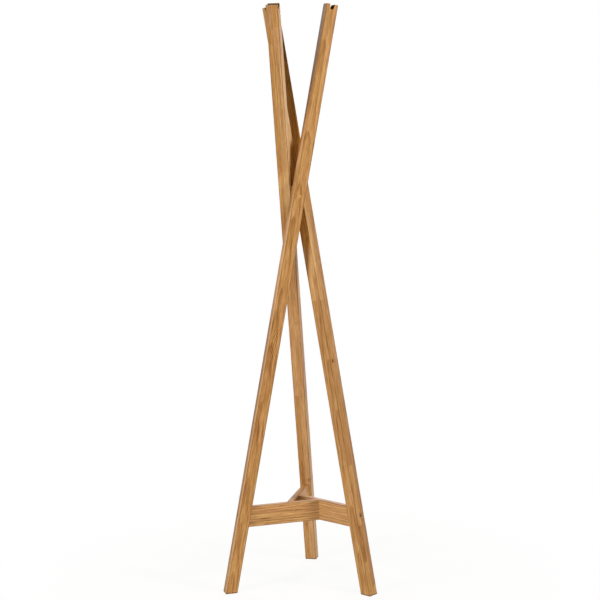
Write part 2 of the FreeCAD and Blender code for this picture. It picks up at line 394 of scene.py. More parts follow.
class Sheet:
    """The node tree of one material or world, with short calls that add nodes and link them."""

    noise_spread: Span = (0.3, 0.7)
    noise_middle: float = 0.5
    mix_inputs: tuple[int, int, int] = (0, 6, 7)
    mix_result: int = 2

    def __init__(self, owner: Material | bpy.types.World, shader: str = "Principled BSDF") -> None:
        """Takes up a new material or world.

        Args:
            owner: The material or world.
            shader: The name of the shader that it starts with.
        """
        owner.use_nodes = True
        self.owner = owner
        self.tree = owner.node_tree
        self.shader = self.tree.nodes[shader]

    def feed(self, node: bpy.types.Node, inputs: Inputs) -> None:
        """Links a node's sockets to others, or sets their values.

        Args:
            node: The node.
            inputs: What goes into its sockets, by socket name or number.
        """
        for key, value in inputs.items():
            socket = node.inputs[key]
            if isinstance(value, Socket):
                self.tree.links.new(value, socket)
            else:
                socket.default_value = (*value, 1) if socket.type == "RGBA" else value

    def node(self, kind: str, inputs: Inputs | None = None, **settings: object) -> bpy.types.Node:
        """Adds a node.

        Args:
            kind: The node's type.
            inputs: What goes into its sockets, by socket name or number.
            settings: The node's own properties.

        Returns:
            The node.
        """
        node = self.tree.nodes.new(kind)
        for key, value in settings.items():
            setattr(node, key, value)
        self.feed(node, inputs or {})
        return node

    def math(self, operation: str, *numbers: Number) -> Socket:
        """Works out one number from up to three, by Blender's name for the operation."""
        return self.node("ShaderNodeMath", dict(enumerate(numbers)), operation=operation).outputs[0]

    def times(self, first: Number, second: Number) -> Socket:
        """Multiplies two numbers."""
        return self.math("MULTIPLY", first, second)

    def add_times(self, share: Number, change: Number, start: Number) -> Socket:
        """Adds a share of a change to a number."""
        return self.math("MULTIPLY_ADD", share, change, start)

    def apart(self, first: Number, second: Number) -> Socket:
        """Tells how far two numbers are apart."""
        return self.math("ABSOLUTE", self.math("SUBTRACT", first, second))

    def vector(self, operation: str, first: Point, second: Point) -> Socket:
        """Works out a vector from two, or the number that a dot product or a distance gives."""
        node = self.node("ShaderNodeVectorMath", {0: first, 1: second}, operation=operation)
        return node.outputs[1] if operation in ("DOT_PRODUCT", "DISTANCE") else node.outputs[0]

    def axes(self, place: Socket) -> tuple[Socket, ...]:
        """Takes coordinates apart into their three numbers."""
        return tuple(self.node("ShaderNodeSeparateXYZ", {0: place}).outputs)

    def noise(self, place: Socket, noise: Noise) -> Socket:
        """Adds a noise, about 0 to 1, that is stretched by axis.

        Args:
            place: The coordinates.
            noise: What it is like.

        Returns:
            The noise.
        """
        stretched = self.vector("MULTIPLY", place, noise.scale)
        inputs = {"Vector": stretched, "Scale": 1.0, "Detail": noise.detail, "Roughness": noise.rough}
        return self.node("ShaderNodeTexNoise", inputs).outputs["Fac"]

    def swing(self, noise: Socket) -> Socket:
        """Moves a noise's middle to zero."""
        return self.math("SUBTRACT", noise, self.noise_middle)

    def fade(self, value: Socket, between: Span, to: Span = (0.0, 1.0)) -> Socket:
        """Maps the values between two ends smoothly to those between two others."""
        inputs = dict(enumerate((value, *between, *to)))
        return self.node("ShaderNodeMapRange", inputs, interpolation_type="SMOOTHSTEP").outputs[0]

    def mix(self, share: Number, first: Point, second: Point, how: str = "MIX") -> Socket:
        """Mixes a share of a second colour into a first, by Blender's name for the way of mixing."""
        inputs = dict(zip(self.mix_inputs, (share, first, second)))
        return self.node("ShaderNodeMix", inputs, data_type="RGBA", blend_type=how).outputs[self.mix_result]

    def place(self) -> Socket:
        """The place in the stand's frame, since every piece's object is at the origin."""
        return self.node("ShaderNodeTexCoord").outputs["Object"]

    def within(self, place: Matrix) -> Socket:
        """The place in a piece's own frame, by that frame's place."""
        inputs = {0: self.place(), "Location": place.to_translation(), "Rotation": place.to_euler("XYZ")}
        return self.node("ShaderNodeMapping", inputs, vector_type="TEXTURE").outputs[0]

    def bump(self, height: Socket, strength: float, depth: float) -> Socket:
        """Turns heights into the tilt of a surface."""
        inputs = {"Strength": strength, "Distance": depth, "Height": height}
        return self.node("ShaderNodeBump", inputs).outputs[0]


def srgb(*levels: int) -> Triple:
    """Turns a colour as a screen shows it, 0 to 255, into the shader's linear values."""
    shares = (level / 255 for level in levels)
    return tuple(each / 12.92 if each <= 0.04045 else ((each + 0.055) / 1.055) ** 2.4 for each in shares)


@dataclass(frozen=True)
class OakFinish:
    """Oiled oak with rings, streaks, flecks and pores, glue lines and dark edges, with painted shade on
    shaded faces, in a notch and along the floor.
    """

    deep: Triple = srgb(142, 93, 49)
    mid: Triple = srgb(190, 142, 89)
    pale: Triple = srgb(219, 177, 123)
    # Dark colour of pores, glue lines, long edges and the ramp's darkest tone, and of the painted shade
    # along the floor.
    edge: Triple = srgb(104, 68, 32)
    end: Triple = srgb(90, 58, 28)
    # Painted shade inside a leg's notch: the colour of its sawn walls.
    sawn: Triple = srgb(66, 32, 8)
    # Painted shade: a warm tint multiplied into faces that stand in shade, which also lose their sheen.
    stain: Triple = (1.0, 0.85, 0.28)
    stain_matt: float = 2.0
    stops: Triple = (0.12, 0.5, 0.92)
    tone: float = 0.54
    streaks: float = 0.95
    rings: float = 0.24
    flecks: float = 1.1
    hue: Span = (0.496, 0.504)
    saturation: Span = (0.96, 1.04)
    hue_noise: Noise = Noise((50, 50, 5))

    ring: float = 3.2 * MM
    taper: float = 1 / 55
    pith: Triple = (-0.015, 0.03, 0.0)
    pith_spread: Triple = (0.03, 0.07, 3.0)
    waves: Span = (3 * MM, 9 * MM)
    wild_blocks: Span = (0.5, 0.95)
    wave_noise: Noise = Noise((8, 8, 4.5))
    late_wood: Span = (0.25, 0.88)
    ring_end: Span = (1.0, 0.93)
    early_wood: Span = (0.5, 0.0)

    fleck_noise: Noise = Noise((300, 300, 18), 3.0, 0.65)
    pore_noise: Noise = Noise((1500, 1500, 60), 1.0)
    pore_size: Span = (0.56, 0.68)
    pore_dark: float = 0.4
    band_step: float = 0.55
    band_share: float = 0.4
    band_noise: Noise = Noise((1, 1.4, 1), 4.0, 0.66)
    line_noise: Noise = Noise((260, 260, 1.7), 3.0, 0.65)
    feather: float = 7 * MM
    feather_slope: float = 0.55
    feather_middle: float = 0.72
    feather_wobble: float = 9 * MM
    feather_noise: Noise = Noise((90, 90, 30), 1.0)

    board_seed: float = 31.0
    board_seam: Span = (0.25 * MM, 0.1 * MM)
    block_seam: Span = (0.6 * MM, 0.2 * MM)
    seam_dark: float = 0.25
    arris: Span = (2.4 * MM, 0.5 * MM)
    arris_dark: Span = (0.75, 0.45)
    # Painted shade along the floor: every piece darkens within this height of the floor.
    foot_line: float = 6 * MM
    foot_dark: float = 0.8
    end_facing: Span = (0.6, 0.9)
    end_dark: float = 0.8
    wall_facing: Span = (0.5, 0.3)

    roughness: float = 0.45
    pore_dull: float = 0.14
    streak_dull: Span = (0.05, -0.04)
    shine: float = 0.18
    fleck_relief: float = 0.4
    relief: float = 0.3
    relief_depth: float = 0.15 * MM

    def dress(self, name: str, timber: Timber) -> Material:
        """Makes the material of one piece from its wood."""
        return OakSheet(name, self, timber).finished()


class OakSheet(Sheet):
    """The nodes of one piece's oak.

    Attributes:
        local: The place in the piece's own frame, which is also taken apart: across, deep and along.
        paler: How much paler a block is than the finish's tone.
        seam: 1 on a glue line.
        wild: A chance, 0 to 1, that makes some blocks wavier than others.
        wood: The place in the trunk that the blocks were sawn from.
    """

    def __init__(self, name: str, oak: OakFinish, timber: Timber) -> None:
        """Takes up the wood of one piece.

        Args:
            name: The material's name.
            oak: The finish.
            timber: The piece's wood.
        """
        super().__init__(bpy.data.materials.new(name))
        self.oak = oak
        self.timber = timber
        self.local = self.within(timber.place)
        self.across, self.deep, self.along = self.axes(self.local)
        number, self.paler, self.seam = self.blocks()
        chance = self.node("ShaderNodeTexWhiteNoise", {"W": number}, noise_dimensions="1D").outputs["Color"]
        self.wild = self.node("ShaderNodeSeparateColor", {0: chance}).outputs["Blue"]
        origin = self.vector("ADD", self.vector("MULTIPLY", chance, oak.pith_spread), oak.pith)
        self.wood = self.vector("ADD", self.local, origin)

    def finished(self) -> Material:
        """Puts the grain, the colour and the surface together.

        Returns:
            The material.
        """
        oak = self.oak
        turns = self.ring_count()
        saw = self.math("FRACT", turns)
        late = self.times(self.fade(saw, oak.late_wood), self.fade(saw, oak.ring_end))
        streak = self.streak(turns)
        fleck = self.noise(self.wood, oak.fleck_noise)
        pore = self.fade(self.noise(self.wood, oak.pore_noise), oak.pore_size)
        pore = self.times(pore, self.fade(late, oak.early_wood))

        changes = [(self.swing(streak), oak.streaks), (late, -oak.rings), (self.swing(fleck), oak.flecks)]
        changes += [(self.inside(patch), patch.tone) for patch in self.timber.patches]
        tone = self.math("ADD", self.paler, oak.tone)
        for share, change in changes:
            tone = self.add_times(share, change, tone)
        if self.timber.figured:
            tone = self.math("ADD", tone, self.curl(self.timber.figured))

        colour = self.coloured(tone)
        # Pores, glue lines and long edges darken the colour; the last share is painted shade along the
        # floor.
        darkened = (
            self.times(pore, oak.pore_dark),
            self.times(self.seam, oak.seam_dark),
            self.arrises(fleck),
            self.fade(self.axes(self.place())[2], (oak.foot_line, 0.0), (0.0, oak.foot_dark)),
        )
        for share in darkened:
            colour = self.mix(share, colour, oak.edge)
        colour, matt = self.cut_faces(colour)

        dull = self.fade(streak, self.noise_spread, oak.streak_dull)
        dull = self.add_times(pore, oak.pore_dull, dull)
        heights = self.times(fleck, oak.fleck_relief)
        for groove in (pore, self.seam):
            heights = self.math("SUBTRACT", heights, groove)
        surface = {
            "Base Color": colour,
            "Specular IOR Level": self.add_times(matt, -oak.shine, oak.shine),
            "Roughness": self.math("ADD", dull, oak.roughness),
            "Normal": self.bump(heights, oak.relief, oak.relief_depth),
        }
        self.feed(self.shader, surface)
        return self.owner

    def blocks(self) -> tuple[Number, Number, Number]:
        """Numbers the blocks of the two boards, and finds their tones and the glue lines between them.

        Returns:
            The block's number, how much paler it is than the finish's tone, and 1 on a glue line.
        """
        if not self.timber.boards:
            return self.timber.seed, 0.0, 0.0
        inner = self.math("GREATER_THAN", self.deep, 0.0)
        number = self.add_times(inner, self.oak.board_seed, self.timber.seed)
        paler: Number = 0.0
        seam = self.fade(self.math("ABSOLUTE", self.deep), self.oak.board_seam)
        for board, blocks in zip((self.math("SUBTRACT", 1.0, inner), inner), self.timber.boards):
            below = 0.0
            for start, tone in blocks:
                begun = self.times(self.math("GREATER_THAN", self.along, start), board)
                number = self.math("ADD", number, begun)
                paler = self.add_times(begun, tone - below, paler)
                below = tone
                away = self.apart(self.along, start)
                line = self.times(self.fade(away, self.oak.block_seam), board)
                seam = self.math("MAXIMUM", seam, line)
        return number, paler, seam

    def inside(self, patch: Patch) -> Socket:
        """Tells what lies in a patch.

        Args:
            patch: The patch.

        Returns:
            1 inside the patch, 0 outside.
        """
        share: Number = 1.0
        axes = (self.across, self.deep, self.along)
        for axis, low, high, soft in zip(axes, patch.low, patch.high, patch.soft):
            reach = (high - low) / 2
            away = self.apart(axis, low + reach)
            share = self.times(share, self.fade(away, (reach, reach - soft)))
        return share

    def ring_count(self) -> Socket:
        """Counts the growth rings out from the pith: they taper along the trunk and wave.

        Returns:
            The number of rings.
        """
        oak = self.oak
        radius = self.vector("DISTANCE", self.vector("MULTIPLY", self.wood, (1, 1, 0)), (0, 0, 0))
        radius = self.add_times(self.axes(self.wood)[2], oak.taper, radius)
        bend = self.swing(self.noise(self.wood, oak.wave_noise))
        radius = self.add_times(bend, self.fade(self.wild, oak.wild_blocks, oak.waves), radius)
        return self.math("DIVIDE", radius, oak.ring)

    def streak(self, turns: Socket) -> Socket:
        """Makes the dark and pale streaks: broad bands that follow the rings, and finer lines.

        Args:
            turns: The number of rings out from the pith.

        Returns:
            The streaks, about 0 to 1.
        """
        oak = self.oak
        unrolled = {0: self.times(turns, oak.band_step), 1: self.axes(self.wood)[2]}
        band = self.noise(self.node("ShaderNodeCombineXYZ", unrolled).outputs[0], oak.band_noise)
        line = self.times(self.noise(self.wood, oak.line_noise), 1 - oak.band_share)
        return self.add_times(band, oak.band_share, line)

    def curl(self, figured: Patch) -> Socket:
        """Feathers the grain in one stretch: its lines run out to both sides of the stretch's middle.

        Args:
            figured: The stretch.

        Returns:
            How much paler the wood is.
        """
        oak = self.oak
        centre = figured.low[2] + oak.feather_middle * (figured.high[2] - figured.low[2])
        away = self.apart(self.along, centre)
        spread = self.add_times(away, -oak.feather_slope, self.across)
        wobble = self.swing(self.noise(self.local, oak.feather_noise))
        spread = self.add_times(wobble, oak.feather_wobble, spread)
        half_turn = 0.5
        line = self.math("PINGPONG", self.math("DIVIDE", spread, oak.feather), half_turn)
        lines = self.fade(line, (0.0, half_turn), (-figured.tone, figured.tone))
        return self.times(self.inside(figured), lines)

    def coloured(self, tone: Socket) -> Socket:
        """Turns the wood's tone into its colour, whose hue wanders a little.

        Args:
            tone: The tone, 0 for the darkest.

        Returns:
            The colour.
        """
        oak = self.oak
        ramp = self.node("ShaderNodeValToRGB", {0: tone})
        stops = ramp.color_ramp.elements
        stops.remove(stops[1])
        stops[0].color = (*oak.edge, 1)
        for place, colour in zip(oak.stops, (oak.deep, oak.mid, oak.pale)):
            stops.new(place).color = (*colour, 1)
        tinted = {
            "Hue": self.fade(self.noise(self.wood, oak.hue_noise), self.noise_spread, oak.hue),
            "Saturation": self.fade(self.wild, (0.0, 1.0), oak.saturation),
            "Color": ramp.outputs[0],
        }
        return self.node("ShaderNodeHueSaturation", tinted).outputs[0]

    def arrises(self, fleck: Socket) -> Socket:
        """Finds the long edges, which are darkened.

        Args:
            fleck: A noise that breaks the edges up.

        Returns:
            How dark the edge is, 0 to 1.
        """
        dark = self.fade(fleck, self.noise_spread, self.oak.arris_dark)
        for axis, side in zip((self.across, self.deep), self.timber.half):
            band = tuple(side - depth for depth in self.oak.arris)
            dark = self.times(dark, self.fade(self.math("ABSOLUTE", axis), band))
        return dark

    def facing(self, way: Vector) -> Socket:
        """Tells how squarely a face looks along a way of the piece's own frame, or against it."""
        normal = self.node("ShaderNodeNewGeometry").outputs["Normal"]
        return self.math("ABSOLUTE", self.vector("DOT_PRODUCT", normal, self.timber.place.to_3x3() @ way))

    def cut_faces(self, colour: Socket) -> tuple[Socket, Socket]:
        """Darkens and dulls end grain, and paints shade, deeper and matt, on shaded faces and on the sawn
        walls of a notch.

        Args:
            colour: The colour of the wood's long faces.

        Returns:
            The colour with these faces, and how matt the wood is, 0 to 1.
        """
        oak, notch = self.oak, self.timber.notch
        matt = self.fade(self.facing(UP), oak.end_facing, (0.0, oak.end_dark))
        colour = self.mix(matt, colour, oak.end)
        # Painted shade: shaded faces take a deeper, warm tint and lose sheen.
        for stain in self.timber.stains:
            share = self.inside(stain)
            colour = self.mix(self.times(share, stain.tone), colour, oak.stain, "MULTIPLY")
            matt = self.math("MAXIMUM", matt, self.times(share, min(1.0, oak.stain_matt * stain.tone)))
        # Painted shade: the notch's walls are darkened to the notch shade colour and made matt.
        if notch:
            painted_wall_shade = self.fade(self.facing(INWARD), oak.wall_facing, (0.0, notch.tone))
            painted_wall_shade = self.times(self.inside(notch), painted_wall_shade)
            colour = self.mix(painted_wall_shade, colour, oak.sawn)
            matt = self.math("MAXIMUM", matt, painted_wall_shade)
        return colour, matt


@dataclass(frozen=True)
class MetalFinish:
    """Plated steel with faint wiping marks and a duller film in patches."""

    clean: Triple
    dull: Triple
    roughness: Span
    film_noise: Noise = Noise((420, 420, 420), 3.0)
    mark_noise: Noise = Noise((2600, 2600, 500))
    relief: float = 0.1
    relief_depth: float = 0.05 * MM

    def dress(self, name: str) -> Material:
        """Makes the material.

        Args:
            name: The material's name.

        Returns:
            The material.
        """
        sheet = Sheet(bpy.data.materials.new(name))
        place = sheet.place()
        marks = sheet.noise(place, self.mark_noise)
        surface = {
            "Base Color": sheet.mix(sheet.noise(place, self.film_noise), self.clean, self.dull),
            "Metallic": 1.0,
            "Roughness": sheet.fade(marks, sheet.noise_spread, self.roughness),
            "Normal": sheet.bump(marks, self.relief, self.relief_depth),
        }
        sheet.feed(sheet.shader, surface)
        return sheet.owner


PAST = 30 * MM
SKIN = 16.5 * MM
BELOW = -1.5
ABOVE = 0.9
GLUE_LINE = (MM, 0.2 * MM)


class Zone(Enum):
    """A part of a leg's cross-section: its reach across the lean and its reach inwards, in the leg's frame.

    The legs' outer boards lie below 0 inwards and their inner boards above it. PAST is outside the leg and
    SKIN is just under its faces. BELOW and ABOVE are past a leg's two ends.
    """

    WHOLE = ((-PAST, PAST), (-PAST, PAST))
    INNER_BOARD = ((-PAST, PAST), (0.0, PAST))
    CORE_FACE = ((-PAST, PAST), (SKIN, PAST))
    CORE_FACE_CORNER = ((-PAST, 6 * MM), (SKIN, PAST))
    ALL_BUT_CORE_FACE = ((-PAST, PAST), (-PAST, SKIN + MM))
    RAIL_FACE = ((SKIN, PAST), (-PAST, PAST))
    BOLT_FACE = ((-PAST, -SKIN), (-PAST, PAST))
    BOLT_FACE_OUTER = ((-PAST, -SKIN), (-PAST, 0.0))
    BOLT_FACE_INNER = ((-PAST, -SKIN), (0.0, PAST))
    BOLT_FACE_CORNER = ((-PAST, -SKIN), (6 * MM, PAST))

    def patch(self, start: float, end: float, tone: float, fade: float, sides: Span = (MM, MM)) -> Patch:
        """Marks a stretch of this part of a leg.

        Args:
            start: Where the stretch starts, along the leg from the waist.
            end: Where it ends.
            tone: How much paler it is, or how deep its painted shade is.
            fade: How far it fades in at its ends.
            sides: How far it fades in at its sides, each way.

        Returns:
            The patch.
        """
        across, inwards = self.value
        return Patch((across[0], inwards[0], start), (across[1], inwards[1], end), tone, (*sides, fade))


LEG_WOODS = {
    Side.LEFT: Timber(
        seed=2.0,
        boards=(
            ((BELOW, -0.05),),
            ((BELOW, -0.06), (-0.90, -0.02), (-0.31, 0.04), (0.33, -0.08)),
        ),
        patches=(
            Zone.WHOLE.patch(BELOW, -0.80, 0.06, 0.2),
            Zone.WHOLE.patch(-0.66, -0.30, -0.06, 0.1),
            # Painted light and shade on the left face: darker above the waist, where the other legs' tops
            # keep light off it, paler below the waist, and darker along its inner half.
            Zone.BOLT_FACE_OUTER.patch(0.15, ABOVE, -0.12, 0.15),
            Zone.BOLT_FACE.patch(BELOW, 0.36, 0.10, 0.12),
            Zone.BOLT_FACE.patch(-0.40, 0.33, 0.10, 0.12),
            Zone.BOLT_FACE_INNER.patch(BELOW, -0.31, -0.38, 0.2 * MM, GLUE_LINE),
            Zone.BOLT_FACE_INNER.patch(-0.31, 0.33, -0.36, 0.2 * MM, GLUE_LINE),
            Zone.BOLT_FACE_INNER.patch(0.33, ABOVE, -0.54, 0.2 * MM, GLUE_LINE),
            Zone.BOLT_FACE_INNER.patch(0.0, 0.33, 0.22, 0.04),
        ),
        figured=Patch((-0.011, -0.04, -0.505), (0.04, 0.01, -0.385), 0.17, (0.006, 0.02, 0.025)),
    ),
    Side.RIGHT: Timber(
        seed=117.0,
        boards=(
            ((BELOW, 0.10), (-1.186, -0.12), (-0.62, -0.04), (-0.05, -0.01), (0.40, -0.05)),
            ((BELOW, 0.05), (-0.821, -0.02), (-0.321, 0.12), (0.21, 0.04)),
        ),
        patches=(
            Patch((-0.02, 0.001, -1.115), (-0.012, 0.0155, -1.001), -0.24, (0.001, 0.001, 0.003)),
            Patch((-0.025, 0.0, -0.512), (-0.010, 0.012, -0.498), -0.42, (0.004, 0.004, 0.004)),
            # Painted shade: the left leg's shadow on this leg's right-front face above the waist.
            Zone.BOLT_FACE.patch(0.02, ABOVE, -0.18, 0.12),
            # Painted shade near the crossing on the inner face, and painted light on the lit stretch above
            # it.
            Zone.CORE_FACE.patch(0.03, 0.16, -0.32, 0.02),
            Zone.CORE_FACE.patch(0.15, 0.29, 0.40, 0.02),
            # Painted light on the lit edge of the right-front face, beside the shaded inner face below the
            # waist.
            Zone.BOLT_FACE_CORNER.patch(-0.26, -0.03, 0.20, 0.05, (MM, 6 * MM)),
        ),
        # Painted shade, deeper and matt, on the faces that the left leg shades.
        stains=(
            Zone.BOLT_FACE.patch(0.02, ABOVE, 0.5, 0.12),
            Zone.CORE_FACE.patch(-0.175, 0.165, 0.5, 0.03),
        ),
    ),
    Side.BACK: Timber(
        seed=240.0,
        boards=(
            ((BELOW, 0), (-0.946, -0.09), (-0.8625, -0.02), (-0.641, 0.05), (-0.12, -0.06), (0.503, -0.12)),
            ((BELOW, 0.06), (-0.404, 0.03), (0.08, 0.02), (0.503, -0.04)),
        ),
        patches=(
            Patch((-0.02, 0.002, -0.936), (0.02, 0.02, -0.920), -0.40, (0.005, 0.005, 0.005)),
            Patch((-0.02, 0.001, 0.501), (0.02, 0.02, 0.505), 0.22, (0.001, 0.004, 0.0015)),
            Patch((-0.03, 0.004, -0.014), (0.0, 0.012, -0.004), -0.60, (0.003, 0.003, 0.003)),
            # Painted light on this leg's right-front face.
            Zone.CORE_FACE.patch(-0.07, 0.46, 0.36, 0.10),
            # Painted light that lifts the left leg's shadow across this leg near the waist.
            Zone.ALL_BUT_CORE_FACE.patch(-0.06, 0.095, 0.22, 0.06),
            # Painted shade in the crotch, at the corner of the right-front face near the waist.
            Zone.CORE_FACE_CORNER.patch(-0.02, 0.095, -0.50, 0.015, (6 * MM, MM)),
            Zone.INNER_BOARD.patch(BELOW, -0.90, 0.10, 0.08, GLUE_LINE),
            Zone.INNER_BOARD.patch(-0.70, -0.404, -0.13, 0.08, GLUE_LINE),
            # Slightly paler front face, which also takes a light painted shade tint.
            Zone.RAIL_FACE.patch(-0.90, ABOVE, 0.03, 0.05),
        ),
        # Painted shade, deeper and matt: in the crotch and, lightly, on the front face.
        stains=(
            Zone.CORE_FACE_CORNER.patch(-0.02, 0.095, 0.5, 0.015, (6 * MM, MM)),
            Zone.RAIL_FACE.patch(-0.90, ABOVE, 0.1, 0.05),
        ),
    ),
}


@dataclass
class Trio:
    """A sub-assembly with a piece on each side."""

    pieces: dict[Side, Piece] = field(default_factory=dict, init=False)

    def copy_round(self, piece: Piece, name: str) -> None:
        """Makes the pieces from the left side's, each with a mesh of its own.

        Args:
            piece: The left side's piece, which becomes one of the three.
            name: What the pieces are called, before the side's word.
        """
        soften(piece)
        self.pieces[Side.LEFT] = piece
        for side in (Side.RIGHT, Side.BACK):
            select_only(piece)
            bpy.ops.object.duplicate(linked=False)
            self.pieces[side] = lay(bpy.context.object, side.turn)
        for side, copy in self.pieces.items():
            copy.name = f"{name}_{side.label}"
            copy.data.name = copy.name


@dataclass
class Legs(Trio):
    """The three leaning legs."""

    form: StandForm
    oak: OakFinish
    edge_radius: float = 1.5 * MM
    edge_facets: int = 4
    notch_mouth: float = 15 * MM
    notch_depth: float = 16 * MM
    notch_root: float = 5 * MM
    notch_facets: int = 64
    notch_lip: float = 0.3 * MM
    cutter_lid: float = 0.1 * MM
    counterbore: float = 6 * MM
    counterbore_lip: float = 0.4 * MM
    # Painted light inside the counterbore.
    counterbore_paler: float = 0.6
    countersink: float = 5.1 * MM

    def build(self) -> None:
        """Models the left leg and its two copies."""
        form = self.form
        half = form.leg_side / 2
        foot = Vector((-half, -half, -form.leg_foot - form.leg_side))
        leg = lay(add_block("leg", foot, Vector((half, half, form.leg_top))), form.leg_place)
        slice_off(leg, Vector((0, 0, 0)), -UP)
        ease_edges(leg, lambda a, b: (a - b).length > 2 * form.leg_side, self.edge_radius, self.edge_facets)
        carve(leg, self.notch())
        bolt = form.leg_place @ pointing(Vector((-half, 0, form.bolt_along)), ALONG)
        carve(leg, lay(bore("counterbore", self.counterbore, form.bolt_seat), bolt))
        carve(leg, countersink(self.countersink, Vector((0, -form.leg_offset - half, form.waist))))
        self.copy_round(leg, "oak_leg")

    def notch(self) -> Piece:
        """Makes the cutter for the coat notch: a round root that widens to the mouth.

        Returns:
            The cutter, at the left leg's top.
        """
        length = 2 * self.form.leg_side
        rise = self.notch_depth - self.notch_root
        root_height = self.form.leg_top - rise
        half_mouth = self.notch_mouth / 2
        flare = math.acos(self.notch_root / math.hypot(rise, half_mouth)) - math.atan2(rise, half_mouth)
        half_top = half_mouth + rise * math.tan(flare)
        rod = {"vertices": self.notch_facets, "radius": self.notch_root, "depth": length}
        cutter = add_primitive("notch", bpy.ops.mesh.primitive_cylinder_add, **rod)
        lay(cutter, pointing(UP * root_height, INWARD))
        with editing(cutter):
            bpy.ops.mesh.primitive_cube_add(size=1, location=UP * (root_height + 2 * rise))
            bpy.ops.transform.resize(value=(2 * half_top, length, self.cutter_lid))
            bpy.ops.mesh.select_all(action="SELECT")
            bpy.ops.mesh.convex_hull()
        return lay(cutter, self.form.leg_place)

    def dress(self) -> None:
        """Gives each leg its oak."""
        form = self.form
        half = form.leg_side / 2
        # Painted shade on the notch's walls.
        reach = self.notch_mouth / 2 + MM
        walls = Patch(
            (-reach, -half, form.leg_top - self.notch_depth - MM),
            (reach, half, form.leg_top - self.notch_lip),
            tone=1.0,
        )
        # Painted light: the wood inside each bolt's counterbore is made paler, to lift the shade in that
        # recess.
        reach = self.counterbore + MM
        recess = Patch(
            (self.counterbore_lip - half, -reach, form.bolt_along - reach),
            (form.bolt_seat + MM - half, reach, form.bolt_along + reach),
            self.counterbore_paler,
        )
        for side, leg in self.pieces.items():
            wood = LEG_WOODS[side]
            timber = replace(
                wood,
                place=side.turn @ form.leg_place,
                half=(half, half),
                patches=(*wood.patches, recess),
                notch=walls,
            )
            material = self.oak.dress(f"oak_leg_{side.label}", timber)
            hand_over(leg, f"leg_{side.label}", material)


@dataclass
class Rails(Trio):
    """The pinwheel of three rails near the floor."""

    form: StandForm
    oak: OakFinish
    edge_radius: float = 1.0 * MM
    edge_facets: int = 3
    countersink: float = 4.1 * MM
    seeds: Triple = (5.0, 23.0, 52.0)

    def build(self) -> None:
        """Models the left rail and its two copies."""
        low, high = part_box("rail_left")
        spare = ALONG * high.z
        rail = add_block("rail", low - spare, high + spare)
        leg = self.form.leg_place
        slice_off(rail, leg @ (ALONG * self.form.leg_side / 2), leg.to_3x3() @ -ALONG)
        next_rail = Side.RIGHT.turn
        slice_off(rail, next_rail @ Vector((0, high.y, 0)), next_rail.to_3x3() @ -INWARD)
        long_edge = 2 * (high.z - low.z)
        ease_edges(rail, lambda a, b: (a - b).length > long_edge, self.edge_radius, self.edge_facets)
        screw = middle("rail_screw_left")
        carve(rail, countersink(self.countersink, Vector((screw.x, low.y, screw.z))))
        self.copy_round(rail, "oak_rail")

    def dress(self) -> None:
        """Gives each rail its oak."""
        low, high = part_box("rail_left")
        grain = pointing((low + high) / 2, ALONG)
        half = ((high.z - low.z) / 2, (high.y - low.y) / 2)
        for side, rail in self.pieces.items():
            timber = Timber(self.seeds[side.value], side.turn @ grain, half)
            material = self.oak.dress(f"oak_rail_{side.label}", timber)
            hand_over(rail, f"rail_{side.label}", material)


@dataclass
class Core:
    """The three-sided block between the legs at the waist."""

    oak: OakFinish
    corner_cut: float = 3 * MM
    corner_facets: int = 3
    seed: float = 9.0
    block: Piece | None = None

    def build(self) -> None:
        """Models the block as a prism, its corners twice as far out as its faces and then blunted."""
        low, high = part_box("core_block")
        height = high.z - low.z
        prism = {"vertices": len(Side), "radius": -2 * low.y, "depth": height}
        place = UP * (low.z + high.z) / 2
        self.block = add_primitive("oak_core", bpy.ops.mesh.primitive_cylinder_add, location=place, **prism)
        upright = height / 2
        ease_edges(self.block, lambda a, b: abs(a.z - b.z) > upright, self.corner_cut, self.corner_facets)
        soften(self.block)

    def dress(self) -> None:
        """Gives the block its oak."""
        timber = Timber(self.seed, Matrix.Translation(middle("core_block")))
        hand_over(self.block, "core_block", self.oak.dress("oak_core", timber))


@dataclass
class Screws(Trio):
    """Countersunk cross-head screws of one kind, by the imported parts' name before the side's word."""

    kind: str
    zinc: Material
    rim: float = 0.5 * MM
    crown_share: float = 0.94
    point: float = 3 * MM
    cross_width: float = 1.2 * MM
    cross_depth: float = 1.8 * MM
    cross_share: float = 0.6

    def build(self) -> None:
        """Models the left side's screw and its two copies."""
        low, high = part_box(f"{self.kind}_left")
        head = (high.z - low.z) / 2
        length = high.y - low.y
        rings = [
            (head * self.crown_share, 0),
            (head, self.rim / 2),
            (head, self.rim),
            (head / 2, self.rim + head / 2),
            (head / 2, length - self.point),
            (0, length),
        ]
        screw = add_turned("screw", rings)
        carve(screw, self.cross(head))
        centre = (low + high) / 2
        lay(screw, pointing(Vector((centre.x, low.y, centre.z)), INWARD))
        self.copy_round(screw, f"zinc_{self.kind}")

    def cross(self, head: float) -> Piece:
        """Makes the cutter for the cross recess.

        Args:
            head: The head's radius.

        Returns:
            The cutter, at the screw's head.
        """
        half = self.cross_width / 2
        arm = head * self.cross_share - half
        low, high = Vector((-half, -half, -self.rim)), Vector((half, half, self.cross_depth))
        cross = add_block("cross", low, high)
        with editing(cross):
            mesh = bmesh.from_edit_mesh(cross.data)
            for face in mesh.faces:
                face.select_set(face.normal.xy.length > abs(face.normal.z))
            bmesh.update_edit_mesh(cross.data)
            bpy.ops.mesh.extrude_faces_move(TRANSFORM_OT_shrink_fatten={"value": arm})
        return cross

    def dress(self) -> None:
        """Gives the screws their plating."""
        for side, screw in self.pieces.items():
            hand_over(screw, f"{self.kind}_{side.label}", self.zinc)


